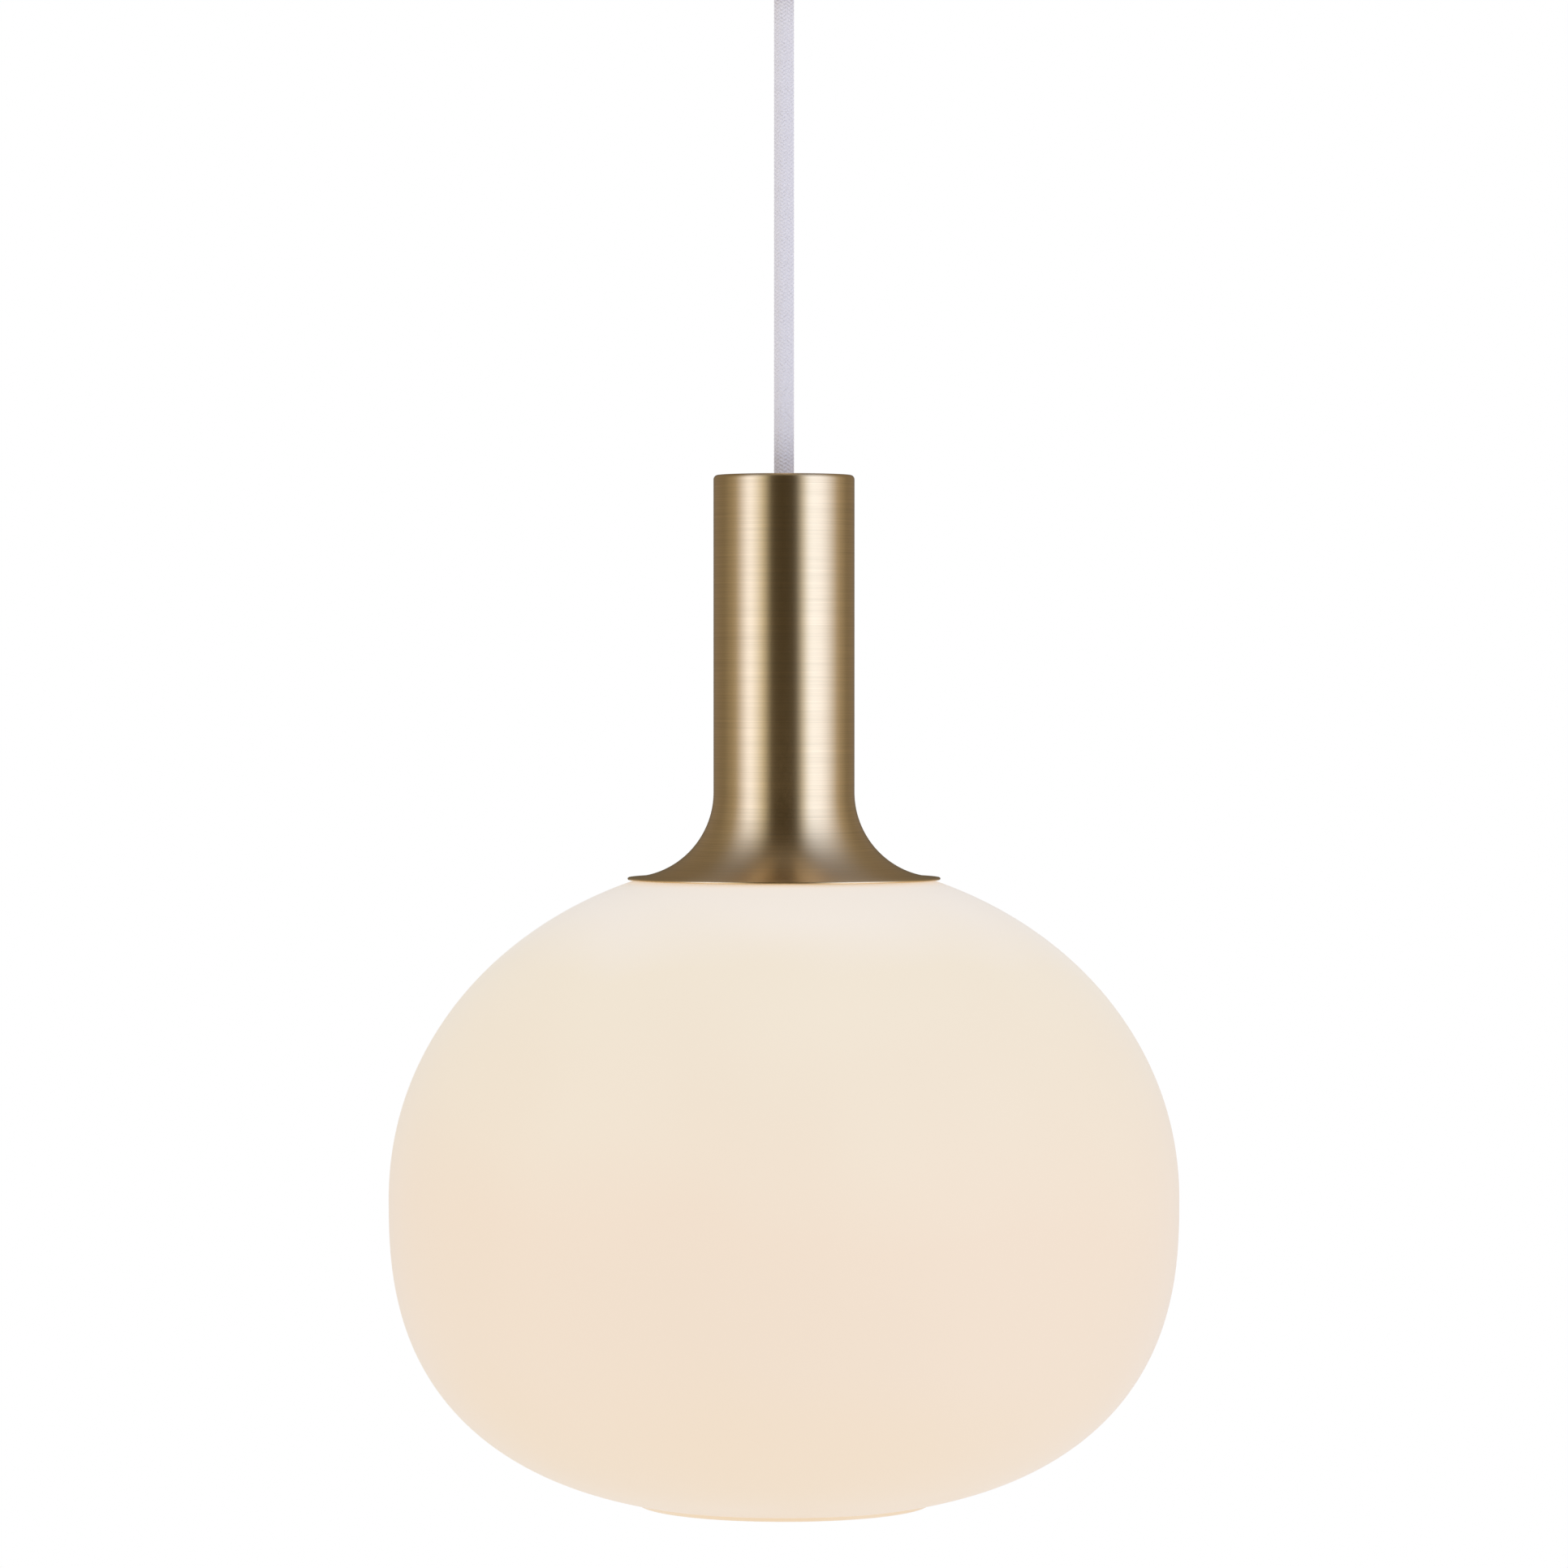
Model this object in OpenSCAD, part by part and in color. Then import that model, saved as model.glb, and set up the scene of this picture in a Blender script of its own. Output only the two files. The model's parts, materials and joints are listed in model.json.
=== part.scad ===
// Pendant ceiling light: an opal glass shade under a spun brass cap, hung on a textile
// cord from a ceiling canopy. Millimetres, +Z up. The origin is on the ceiling plane at
// the middle of the canopy, so every piece lies below it.

/* [Cord] */
// Diameter of the round textile cord
cord_d = 6.4; // [5.6:0.1:8]
// Angle that the cord can lean from the vertical at the canopy, in degrees
swing = 25; // [10:1:30]

/* [Canopy] */
// Outside diameter of the canopy cup
canopy_d = 100; // [94:1:150]
// Height of the canopy cup
canopy_h = 32; // [30:0.5:33]
// Wall of the canopy cup
canopy_wall = 1.2; // [0.8:0.1:2]
// Radius of the canopy cup's lower edge
canopy_edge_r = 6; // [2:0.5:12]
// Distance between the middles of the two ceiling slots
slot_spacing = 60; // [50:1:66]
// Width of a ceiling slot
slot_w = 4.5; // [4:0.1:6]
// Length of a ceiling slot from end to end
slot_l = 14; // [8:1:16]

/* [Metal cap] */
// Height of the cap from its top face to the underside of its rim
cap_h = 128; // [112:1:180]
// Outside diameter of the cap's straight tube
cap_tube_d = 44.6; // [44.6:0.2:60]
// Outside diameter of the cap's flared rim
cap_rim_d = 99; // [90:1:130]
// Height of the flare above the rim's edge
flare_h = 27; // [18:0.5:40]
// Wall of the cap's tube
cap_wall = 1; // [0.6:0.1:1.4]
// Thickness of the rim's edge
rim_edge = 0.8; // [0.5:0.1:1.5]
// Radius of the cap's top edge
cap_edge_r = 1.4; // [0.5:0.1:3]

/* [Glass shade] */
// Outside diameter of the shade at its widest
shade_d = 250; // [200:1:320]
// Depth of the widest place below the cap's rim
belly_drop = 100.6; // [85:0.2:130]
// Height of the upper half's full curve above the widest place
upper_h = 108; // [102:0.5:140]
// Height of the lower half's full curve below the widest place
lower_h = 99.3; // [80:0.5:130]
// Roundness of the upper half, where 2 is an ellipse
upper_n = 2.04; // [1.9:0.01:2.6]
// Roundness of the lower half, where more is squarer
lower_n = 2.54; // [2:0.01:3]
// Thickness of the glass
glass_wall = 3.5; // [2.5:0.1:5]
// Thickness of the flat land that the shade hangs by
land_t = 4; // [3:0.1:6]
// Outside diameter of the lip round the bottom mouth
mouth_d = 94; // [80:1:130]
// How far the lip stands out below the shade's curve
lip_h = 1.3; // [0.6:0.1:3]

/* [Lamp holder] */
// Outside diameter of the holder's threaded skirt
skirt_d = 40; // [38:0.5:40.5]
// Thickness of each silicone gasket
gasket_t = 1.5; // [1:0.1:3]
// Diameter of the skirt's shoulder, the gaskets and the shade ring
shoulder_d = 57; // [50:1:62]

/* [Bulb] */
// Widest diameter of the bulb
bulb_d = 60; // [50:1:66]
// Length of the bulb from its contact to its far end
bulb_l = 110; // [100:1:130]
// Thickness of the bulb's globe
globe_wall = 1.2; // [0.8:0.1:2]

/* [Hidden] */
$fn = 96;

// The cord's route, from inside the canopy down to the top of the metal cap. It is in
// three stretches, because it bends at the two gaps between them.
cord_top_route = [[0, 0, -22], [0, 0, -31], [0, 0, -40]];
cord_neck_route = [[0, 0, -42], [0, 0, -44]];
cord_route = [
    [0, 0, -46], [0, 0, -57], [0, 0, -68], [0, 0, -79], [0, 0, -90],
    [0, 0, -101], [0, 0, -112], [0, 0, -123], [0, 0, -134], [0, 0, -145],
    [0, 0, -156], [0, 0, -167], [0, 0, -178], [0, 0, -189], [0, 0, -200],
];
cord_sides = 12;
cord_r = cord_d / 2;

// Small sizes that several pieces share
eps = 0.01;
curve_steps = 24;
wire_d = 2.2;
wire_steps = 14;
screw_m3_r = 1.5;
screw_m4_r = 2;
thread_wall = 1;
cord_play = 0.8;
nipple_bore_r = cord_r + cord_play;
nipple_r = nipple_bore_r + thread_wall;
nut_across = 2 * nipple_r + 4;
nut_h = 3;

// Levels of the ceiling group
canopy_bottom = -canopy_h;
bracket_t = 1.5;
bracket_w = 18;
tab_h = 13;
tab_gap = 1.6;
tab_x = canopy_d / 2 - canopy_wall - tab_gap;
side_screw_z = -8;
cable_hole_r = 3.5;
cable_hole_x = 15.5;
block_size = [16, 24, 12];
block_top = -bracket_t;
way_y = 6;
way_z = block_top - 5.5;
way_screw_x = 4.5;
// The canopy wires lean off the cord's core, then run level from this far out to their screws
wire_lean = [8, 0.7, 7];
wire_level_x = 26;
wire_tip_short = 2;
sleeve_r = 3;
sleeve_bore_r = 1.8;
block_floor = block_top - block_size[2];

// The cord grip's bell mouth follows the cord's two bends
side_bend_z = (cord_top_route[len(cord_top_route) - 1][2] + cord_neck_route[0][2]) / 2;
front_bend_z = (cord_neck_route[len(cord_neck_route) - 1][2] + cord_route[0][2]) / 2;
throat_z = cord_top_route[len(cord_top_route) - 1][2];
throat_r = cord_r + 0.3;
mouth_z = front_bend_z - 2;
mouth_play = 0.6;
mouth_reach = norm([side_bend_z - mouth_z, front_bend_z - mouth_z]) * tan(swing);
bell_r = cord_r / cos(swing) + mouth_reach + mouth_play;
grip_r = bell_r + 2;
grip_stem_top = canopy_bottom + 6;
grip_screw_z = (canopy_bottom + throat_z) / 2;

// Levels of the cap, which hangs from the cord's lower end
cap_top = cord_route[len(cord_route) - 1][2];
seat_z = cap_top - cap_h;
tube_r = cap_tube_d / 2;
rim_r = cap_rim_d / 2;
bush_flange_t = 1;
bush_r = cord_r + 0.7;
boss_r = nipple_r + 5;
boss_h = 8;

// Levels of the lamp holder, counted from the cap's rim
shoulder_t = 3;
shoulder_r = shoulder_d / 2;
glass_gap = 0.5;
land_z = seat_z - glass_gap;
shoulder_z = land_z + gasket_t;
skirt_r = skirt_d / 2;
skirt_drop = 16;
skirt_bottom = land_z + glass_gap - skirt_drop;
insert_seat = seat_z + 14;
insert_r = skirt_r - 4.2;
insert_h = 14;
insert_top = insert_seat + insert_h;
dome_wall = 2;
dome_r = skirt_r + 0.5;
dome_bore_r = dome_r - dome_wall;
dome_bottom = insert_seat + 2;
neck_play = 0.2;
dome_ceiling = insert_top + 18;
dome_shoulder_h = 5;
dome_neck_h = 10;
dome_neck_r = nipple_r + 3;
dome_top = dome_ceiling + dome_neck_h;
clamp_size = [20, 4, 7];
clamp_top = dome_ceiling - 2;
clamp_screw_x = 7.5;
tail_end = clamp_top - clamp_size[2] - 2;
core_x = 1.3;
live_x = 8.5;
neutral_x = -12.5;
post_h = 4;
post_w = 5;
stem_r = 1.25;
contact_t = 0.4;
contact_drop = 3.5;
shell_r = 14.2;
shell_wall = 0.6;
shell_l = 25;
shell_flange_r = 11;
thread_pitch = 3.6;
ring_reach_r = skirt_r + 1.5;
ring_flange_t = 2.5;
ring_collar_h = 5.5;
ring_collar_r = skirt_r + 4;
lower_gasket_top = land_z - land_t;
ring_top = lower_gasket_top - gasket_t;

// The shade's curves are superellipses that meet at the widest place
belly_z = seat_z - belly_drop;
mouth_r = mouth_d / 2;
shade_r = shade_d / 2;
curve_end_z = belly_z - super_height(shade_r, lower_h, lower_n, mouth_r);
lip_bottom = curve_end_z - lip_h;

// Levels of the bulb
tip_top = insert_seat - contact_drop;
tip_h = 2;
tip_r = 4.8;
insulator_h = 3.5;
bulb_cap_r = 13.1;
bulb_cap_top = tip_top - tip_h - insulator_h + 1;
bulb_cap_h = 22;
bulb_cap_bottom = bulb_cap_top - bulb_cap_h;
bulb_cap_wall = 0.4;
bulb_thread_depth = 0.9;
bulb_neck_r = 13.8;
plug_h = 8;
globe_r = bulb_d / 2;
globe_z = tip_top - bulb_l + globe_r;
globe_rim_rise = 10.5;
housing_top_z = globe_z + globe_rim_rise;
housing_rim_r = sqrt(pow(globe_r, 2) - pow(globe_rim_rise, 2));
housing_wall = 1.5;
board_r = housing_rim_r - housing_wall - 1;
board_t = 1.6;
board_seat = 2;
chip_count = 16;
chip_size = [2.8, 2.8, 0.7];
chip_ring_r = 15;

// --- Functions ---

function unit(v) = v / norm(v);

// Point on a cubic curve with four control points
function bezier(p, t) =
    pow(1 - t, 3) * p[0] + 3 * t * pow(1 - t, 2) * p[1]
    + 3 * t * t * (1 - t) * p[2] + pow(t, 3) * p[3];

function bezier_path(p, steps) = [for (i = [0:steps]) bezier(p, i / steps)];

// Height of a superellipse at radius r
function super_height(a, b, n, r) = b * pow(1 - pow(r / a, n), 1 / n);

// Angle at which a superellipse reaches height h
function super_angle(b, n, h) = asin(pow(h / b, n / 2));

// Points on a superellipse from angle t0 to angle t1
function super_points(a, b, n, t0, t1) = [
    for (i = [0:curve_steps])
        let (t = t0 + (t1 - t0) * i / curve_steps)
        [a * pow(cos(t), 2 / n), b * pow(sin(t), 2 / n)]
];

function moved(points, z, flip = 1) = [for (p = points) [p[0], z + flip * p[1]]];

function backwards(list) = [for (i = [len(list) - 1:-1:0]) list[i]];

function arc_points(centre, r, t0, t1, steps) = [
    for (i = [0:steps])
        let (t = t0 + (t1 - t0) * i / steps)
        [centre[0] + r * cos(t), centre[1] + r * sin(t)]
];

function quarter_flare(r_end, z_end, width, height) = [
    for (i = [0:curve_steps])
        let (t = 90 * i / curve_steps)
        [r_end - width * cos(t), z_end + height * (1 - sin(t))]
];

// --- Shared shapes ---

// Upright tube from z0 up to z1
module tube(r_out, r_in, z0, z1) {
    translate([0, 0, z0])
        difference() {
            cylinder(r = r_out, h = z1 - z0);
            translate([0, 0, -eps]) cylinder(r = r_in, h = z1 - z0 + 2 * eps);
        }
}

// Upright solid cylinder from z0 up to z1
module rod(r, z0, z1) {
    translate([0, 0, z0]) cylinder(r = r, h = z1 - z0);
}

// Hexagonal nut on a bore, with its lower face at z0
module hex_nut(across, bore_r, z0, h) {
    translate([0, 0, z0])
        difference() {
            cylinder(d = across / cos(30), h = h, $fn = 6);
            translate([0, 0, -eps]) cylinder(r = bore_r, h = h + 2 * eps);
        }
}

// Round tube swept along a list of points
module sweep(path, d, sides) {
    last = len(path) - 1;
    points = [
        for (i = [0:last])
            let (along = unit(path[min(i + 1, last)] - path[max(i - 1, 0)]))
            let (across = unit(cross(along, [0, 1, 0])))
            let (up = cross(across, along))
            for (k = [0:sides - 1])
                let (t = 360 * k / sides)
                path[i] + d / 2 * (cos(t) * across + sin(t) * up)
    ];
    walls = [
        for (i = [0:last - 1])
            for (k = [0:sides - 1])
                let (next = (k + 1) % sides)
                [i * sides + k, i * sides + next, (i + 1) * sides + next, (i + 1) * sides + k]
    ];
    first_end = [for (k = [sides - 1:-1:0]) k];
    last_end = [for (k = [0:sides - 1]) last * sides + k];
    polyhedron(points, concat([first_end], walls, [last_end]));
}

// Pan-head screw along +Z: the head sits above z = 0 and the shank goes down
module pan_screw(shank_r, shank_l, head_r, head_h) {
    difference() {
        union() {
            translate([0, 0, -shank_l]) cylinder(r = shank_r, h = shank_l + eps);
            cylinder(r1 = head_r, r2 = head_r * 0.8, h = head_h);
        }
        translate([-head_r, -head_h / 6, head_h * 0.55]) cube([2 * head_r, head_h / 3, head_h]);
    }
}

// Grub screw along +Z with its tip at z = 0
module grub_screw(r, l) {
    difference() {
        cylinder(r = r, h = l);
        translate([0, 0, l - r]) cylinder(r = r * 0.5, h = r + eps, $fn = 6);
    }
}

// Half section of a cup with a rounded lower edge, open at the top
module cup_section(r, h, edge) {
    intersection() {
        translate([0, -h]) square([r, h]);
        union() {
            translate([0, -h]) square([r - edge, h]);
            translate([0, edge - h]) square([r, h]);
            translate([r - edge, edge - h]) circle(r = edge);
        }
    }
}

// --- Ceiling group ---

module ceiling_slot() {
    reach = (slot_l - slot_w) / 2;
    translate([-reach, -slot_w / 2, -bracket_t - eps]) cube([2 * reach, slot_w, bracket_t + 2 * eps]);
    for (side = [-1, 1])
        translate([side * reach, 0, -bracket_t - eps])
            cylinder(d = slot_w, h = bracket_t + 2 * eps);
}

module ceiling_bracket() {
    color("silver")
        difference() {
            union() {
                translate([-tab_x, -bracket_w / 2, -bracket_t])
                    cube([2 * tab_x, bracket_w, bracket_t]);
                for (side = [0, 1])
                    mirror([side, 0, 0])
                        translate([tab_x - bracket_t, -bracket_w / 2, -tab_h])
                            cube([bracket_t, bracket_w, tab_h]);
            }
            for (side = [-1, 1]) {
                translate([side * slot_spacing / 2, 0, 0]) ceiling_slot();
                translate([side * cable_hole_x, 0, -bracket_t - eps])
                    cylinder(r = cable_hole_r, h = bracket_t + 2 * eps);
            }
            translate([0, 0, -bracket_t - eps]) cylinder(r = screw_m3_r, h = bracket_t + 2 * eps);
            translate([0, 0, side_screw_z])
                rotate([0, 90, 0])
                    cylinder(r = screw_m4_r, h = 2 * tab_x + 2, center = true);
        }
}

module canopy_cup() {
    color("white")
        difference() {
            rotate_extrude()
                difference() {
                    cup_section(canopy_d / 2, canopy_h, canopy_edge_r);
                    translate([0, eps])
                        cup_section(
                            canopy_d / 2 - canopy_wall,
                            canopy_h - canopy_wall + eps,
                            canopy_edge_r - canopy_wall
                        );
                }
            translate([0, 0, canopy_bottom - eps]) cylinder(r = nipple_r, h = canopy_wall + 2 * eps);
            translate([0, 0, side_screw_z])
                rotate([0, 90, 0])
                    cylinder(r = screw_m4_r + 0.2, h = canopy_d + 2, center = true);
        }
}

module canopy_side_screws() {
    color("white")
        for (side = [0, 180])
            rotate([0, 0, side])
                translate([canopy_d / 2, 0, side_screw_z])
                    rotate([0, 90, 0])
                        pan_screw(screw_m4_r, canopy_d / 2 - tab_x + bracket_t + 2, 3.6, 2);
}

module terminal_housing() {
    color("ivory")
        difference() {
            translate([-block_size[0] / 2, -block_size[1] / 2, block_floor]) cube(block_size);
            for (side = [-1, 1])
                translate([0, side * way_y, 0]) {
                    translate([0, 0, way_z])
                        rotate([0, 90, 0])
                            cylinder(r = sleeve_r, h = block_size[0] + 1, center = true);
                    for (end = [-1, 1])
                        translate([end * way_screw_x, 0, block_floor - eps])
                            cylinder(r = 2.2, h = way_z - block_floor);
                }
            translate([0, 0, block_floor - eps]) cylinder(r = 1.6, h = block_size[2] + 2 * eps);
            translate([0, 0, block_floor - eps]) cylinder(r = 3, h = 3);
        }
}

module terminal_sleeves() {
    color("gold")
        for (side = [-1, 1])
            translate([0, side * way_y, way_z])
                difference() {
                    rotate([0, 90, 0])
                        difference() {
                            cylinder(r = sleeve_r, h = block_size[0] - 2, center = true);
                            cylinder(r = sleeve_bore_r, h = block_size[0], center = true);
                        }
                    for (end = [-1, 1])
                        translate([end * way_screw_x, 0, -sleeve_r - 1])
                            cylinder(r = screw_m3_r, h = sleeve_r + 1);
                }
}

module terminal_screws() {
    tip_z = way_z - wire_d / 2;
    color("silver")
        for (side = [-1, 1], end = [-1, 1])
            translate([end * way_screw_x, side * way_y, tip_z])
                mirror([0, 0, 1]) grub_screw(screw_m3_r, tip_z - block_floor - 1.5);
}

module terminal_fixing_screw() {
    head_z = block_floor + 3 - eps;
    color("silver")
        translate([0, 0, head_z])
            mirror([0, 0, 1]) pan_screw(screw_m3_r, -0.2 - head_z, 2.8, 2);
}

// One insulated core from the cord's end, past the grip's stem and into its way of the block
module canopy_wire(side) {
    start = cord_top_route[0] + [0, side * core_x, -1];
    lift = max(0, grip_stem_top - start[2]);
    clear = start + [0, 0, lift];
    sweep(
        concat(
            lift > 0 ? [start] : [],
            bezier_path([
                clear,
                clear + [wire_lean[0], side * wire_lean[1], wire_lean[2]],
                [wire_level_x, side * way_y, way_z],
                [way_screw_x - wire_tip_short, side * way_y, way_z]
            ], wire_steps)
        ),
        wire_d, 8
    );
}

module canopy_live_wire() {
    color("saddlebrown") canopy_wire(1);
}

module canopy_neutral_wire() {
    color("royalblue") canopy_wire(-1);
}

// The grip's stem goes up through the canopy, and its bell mouth lets the cord lean
module cord_grip() {
    edge = 1;
    color("goldenrod")
        difference() {
            rotate_extrude()
                polygon([
                    [cord_r, grip_stem_top],
                    [nipple_r, grip_stem_top],
                    [nipple_r, canopy_bottom],
                    [grip_r, canopy_bottom],
                    [grip_r, mouth_z + edge],
                    [grip_r - edge, mouth_z],
                    [bell_r, mouth_z],
                    [throat_r, throat_z],
                    [cord_r, throat_z]
                ]);
            translate([0, 0, grip_screw_z])
                rotate([0, 90, 0])
                    cylinder(r = screw_m4_r, h = grip_r + 1);
        }
}

module cord_grip_nut() {
    color("silver") hex_nut(nut_across, nipple_r, canopy_bottom + canopy_wall, nut_h);
}

module cord_grip_screw() {
    color("silver")
        translate([cord_r, 0, grip_screw_z])
            rotate([0, 90, 0])
                grub_screw(screw_m4_r, grip_r - cord_r - 0.5);
}

// --- Cord ---

module cord_top() {
    color("whitesmoke") sweep(cord_top_route, cord_d, cord_sides);
}

module cord_neck() {
    color("whitesmoke") sweep(cord_neck_route, cord_d, cord_sides);
}

module cord() {
    color("whitesmoke") sweep(cord_route, cord_d, cord_sides);
}

// The stretch that the cap hides, down to the cord clamp
module cord_tail() {
    color("whitesmoke")
        sweep([[0, 0, cap_top], [0, 0, (cap_top + tail_end) / 2], [0, 0, tail_end]],
            cord_d, cord_sides);
}

// --- Cap ---

module brass_cap() {
    outer = concat(
        [[bush_r, cap_top]],
        arc_points([tube_r - cap_edge_r, cap_top - cap_edge_r], cap_edge_r, 90, 0, 8),
        quarter_flare(rim_r, seat_z + rim_edge, rim_r - tube_r, flare_h)
    );
    inner = quarter_flare(
        rim_r - eps, seat_z, rim_r - eps - tube_r + cap_wall, flare_h + rim_edge
    );
    color("darkgoldenrod")
        rotate_extrude()
            polygon(concat(
                outer,
                backwards(inner),
                [[tube_r - cap_wall, cap_top - cap_wall], [bush_r, cap_top - cap_wall]]
            ));
}

module cap_entry_bush() {
    color("white") {
        tube(bush_r, cord_r, cap_top - cap_wall, cap_top);
        tube(nipple_r, cord_r, cap_top - cap_wall - bush_flange_t, cap_top - cap_wall);
    }
}

module cap_boss() {
    color("goldenrod") tube(boss_r, nipple_r, cap_top - cap_wall - boss_h, cap_top - cap_wall);
}

module threaded_tube() {
    color("silver")
        tube(
            nipple_r, nipple_bore_r,
            dome_ceiling + 3, cap_top - cap_wall - bush_flange_t
        );
}

module lock_nut() {
    color("silver") hex_nut(nut_across, nipple_r, cap_top - cap_wall - boss_h - nut_h, nut_h);
}

// --- Lamp holder ---

module holder_dome() {
    shoulder_z0 = dome_ceiling + dome_wall - dome_shoulder_h;
    color("white")
        difference() {
            rotate_extrude()
                polygon([
                    [nipple_r, dome_top],
                    [dome_neck_r, dome_top],
                    [dome_neck_r, dome_ceiling + dome_wall],
                    [dome_r, shoulder_z0],
                    [dome_r, dome_bottom],
                    [dome_bore_r, dome_bottom],
                    [dome_bore_r, shoulder_z0],
                    [dome_neck_r + 1, dome_ceiling],
                    [nipple_bore_r, dome_ceiling],
                    [nipple_bore_r, dome_ceiling + 3],
                    [nipple_r, dome_ceiling + 3]
                ]);
            translate([0, 0, dome_top - 3])
                rotate([0, 90, 0])
                    cylinder(r = screw_m3_r, h = dome_neck_r + 1);
        }
    // Fixed half of the cord clamp
    color("white")
        translate([-clamp_size[0] / 2, -cord_r - clamp_size[1], clamp_top - clamp_size[2]])
            difference() {
                cube([clamp_size[0], clamp_size[1], dome_ceiling - clamp_top + clamp_size[2] + eps]);
                for (side = [-1, 1])
                    translate([clamp_size[0] / 2 + side * clamp_screw_x, 0, clamp_size[2] / 2])
                        rotate([-90, 0, 0])
                            cylinder(r = screw_m3_r, h = 3 * clamp_size[1], center = true);
            }
}

module dome_locking_screw() {
    color("silver")
        translate([nipple_r, 0, dome_top - 3])
            rotate([0, 90, 0])
                grub_screw(screw_m3_r, dome_neck_r - nipple_r);
}

module cord_clamp() {
    color("ivory")
        translate([-clamp_size[0] / 2, cord_r, clamp_top - clamp_size[2]])
            difference() {
                cube(clamp_size);
                for (side = [-1, 1])
                    translate([clamp_size[0] / 2 + side * clamp_screw_x, 0, clamp_size[2] / 2])
                        rotate([-90, 0, 0])
                            cylinder(r = screw_m3_r, h = 3 * clamp_size[1], center = true);
            }
}

module cord_clamp_screws() {
    color("silver")
        for (side = [-1, 1])
            translate([side * clamp_screw_x, cord_r + clamp_size[1], clamp_top - clamp_size[2] / 2])
                rotate([-90, 0, 0])
                    pan_screw(screw_m3_r, 2 * clamp_size[1] + cord_d - 1, 2.8, 2);
}

// One insulated core from the cord's end to a terminal post at x
module holder_wire(x) {
    side = sign(x);
    entry = x - side * (post_w / 2 + 0.01);
    sweep(
        bezier_path([
            [side * core_x, 0, tail_end + 0.5],
            [side * core_x, 0, tail_end - 3],
            [side * 3, 0, insert_top + post_h / 2],
            [entry, 0, insert_top + post_h / 2]
        ], wire_steps),
        wire_d, 8
    );
}

module holder_live_wire() {
    color("saddlebrown") holder_wire(live_x);
}

module holder_neutral_wire() {
    color("royalblue") holder_wire(neutral_x);
}

// Ceramic body that carries the terminals above and the contacts below
module holder_insert() {
    color("white")
        difference() {
            rod(insert_r, insert_seat, insert_top);
            for (x = [live_x, neutral_x])
                translate([x, 0, insert_seat - eps]) cylinder(r = stem_r, h = insert_h + 2 * eps);
        }
}

// Terminal post with a stem that goes down through the insert
module holder_terminal(x) {
    difference() {
        union() {
            translate([x - post_w / 2, -post_w / 2, insert_top]) cube([post_w, post_w, post_h]);
            translate([x, 0, insert_seat]) cylinder(r = stem_r, h = insert_h + eps);
        }
        translate([x, 0, insert_top + 1]) cylinder(r = screw_m3_r, h = post_h);
    }
}

module holder_live_terminal() {
    color("gold") holder_terminal(live_x);
}

module holder_neutral_terminal() {
    color("gold") holder_terminal(neutral_x);
}

module holder_terminal_screws() {
    color("silver")
        for (x = [live_x, neutral_x])
            translate([x, 0, insert_top + post_h]) pan_screw(screw_m3_r, post_h - 1, 2.3, 1.6);
}

// Bent tongue that the bulb's tip presses on
module centre_contact() {
    half_w = 2.5;
    flat_x = 3.5;
    bend_x = live_x - 3;
    root_x = live_x + 2;
    low = insert_seat - contact_drop;
    color("gold")
        rotate([90, 0, 0])
            translate([0, 0, -half_w])
                linear_extrude(2 * half_w)
                    polygon([
                        [root_x, insert_seat],
                        [bend_x, insert_seat],
                        [flat_x - 0.5, low + contact_t],
                        [-flat_x, low + contact_t],
                        [-flat_x, low],
                        [flat_x, low],
                        [bend_x + 0.5, insert_seat - contact_t],
                        [root_x, insert_seat - contact_t]
                    ]);
}

// Threaded metal sleeve with rolled rings, which hangs from the neutral stem
module screw_shell() {
    rings = floor((shell_l - 4) / thread_pitch);
    color("gold")
        difference() {
            tube(shell_r, shell_r - shell_wall, insert_seat - shell_l, insert_seat);
            for (i = [0:rings - 1])
                translate([0, 0, insert_seat - 4 - i * thread_pitch])
                    rotate_extrude() translate([shell_r + 0.7, 0]) circle(r = 1, $fn = 24);
        }
    color("gold")
        tube(shell_r - shell_wall + eps, shell_flange_r, insert_seat - contact_t, insert_seat);
}

// Outer body: it holds the insert, screws into the dome and carries the shade ring
module holder_skirt() {
    neck_r = dome_bore_r;
    color("white")
        rotate_extrude()
            polygon([
                [insert_r, insert_top - 2],
                [neck_r, insert_top - 2],
                [neck_r, dome_bottom],
                [dome_r, dome_bottom],
                [dome_r, shoulder_z + shoulder_t],
                [shoulder_r, shoulder_z + shoulder_t],
                [shoulder_r, shoulder_z],
                [skirt_r, shoulder_z],
                [skirt_r, skirt_bottom + 0.6],
                [skirt_r - 0.6, skirt_bottom],
                [insert_r - 0.9, skirt_bottom],
                [insert_r - 0.9, insert_seat],
                [insert_r, insert_seat]
            ]);
}

module upper_gasket() {
    color("lightgray") tube(shoulder_r, skirt_r + neck_play, land_z, shoulder_z);
}

module lower_gasket() {
    color("lightgray") tube(shoulder_r, skirt_r + neck_play, ring_top, lower_gasket_top);
}

module shade_ring() {
    notches = 16;
    ring_bottom = ring_top - ring_flange_t - ring_collar_h;
    color("white")
        difference() {
            union() {
                tube(shoulder_r, skirt_r, ring_top - ring_flange_t, ring_top);
                tube(ring_collar_r, skirt_r, ring_bottom, ring_top - ring_flange_t + eps);
            }
            for (i = [0:notches - 1])
                rotate([0, 0, 360 * i / notches])
                    translate([ring_collar_r + 0.6, 0, ring_bottom - eps])
                        cylinder(r = 1.5, h = ring_collar_h, $fn = 24);
        }
}

// --- Glass shade ---

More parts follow.
